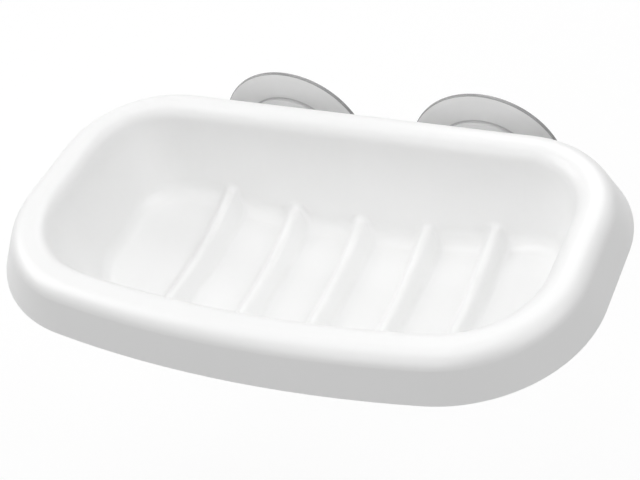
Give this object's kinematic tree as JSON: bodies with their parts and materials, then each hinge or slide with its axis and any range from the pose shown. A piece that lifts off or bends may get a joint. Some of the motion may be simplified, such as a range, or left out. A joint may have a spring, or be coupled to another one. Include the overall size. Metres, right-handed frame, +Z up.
{
  "type": "soap dish",
  "caption": "Wall-hung soap dish: long white tray with a rolled rim, a flared skirt, a deep basin and raised ridges under the soap, held on a tiled wall by soft suction cups.",
  "frame": {"origin": "on the wall, midway between the axes of the suction cups", "axes": "+X to the right along the wall, +Y into the wall, +Z up"},
  "size_m": [0.1456, 0.094, 0.043],
  "materials": {
    "tray_plastic": "white moulded plastic, polished",
    "cup_pvc": "soft clear PVC, slightly milky"
  },
  "bodies": {
    "dish": {"soap_tray": "tray_plastic"},
    "left_cup": {"left_suction_cup": "cup_pvc"},
    "right_cup": {"right_suction_cup": "cup_pvc"}
  },
  "joints": [
    {"name": "left_cup_turn", "type": "hinge", "parent": "dish", "child": "left_cup", "pos_m": [-0.0265, -0.0138, 0], "axis": [0, 1, 0], "continuous": true},
    {"name": "right_cup_turn", "type": "hinge", "parent": "dish", "child": "right_cup", "pos_m": [0.0265, -0.0138, 0], "axis": [0, 1, 0], "continuous": true}
  ]
}
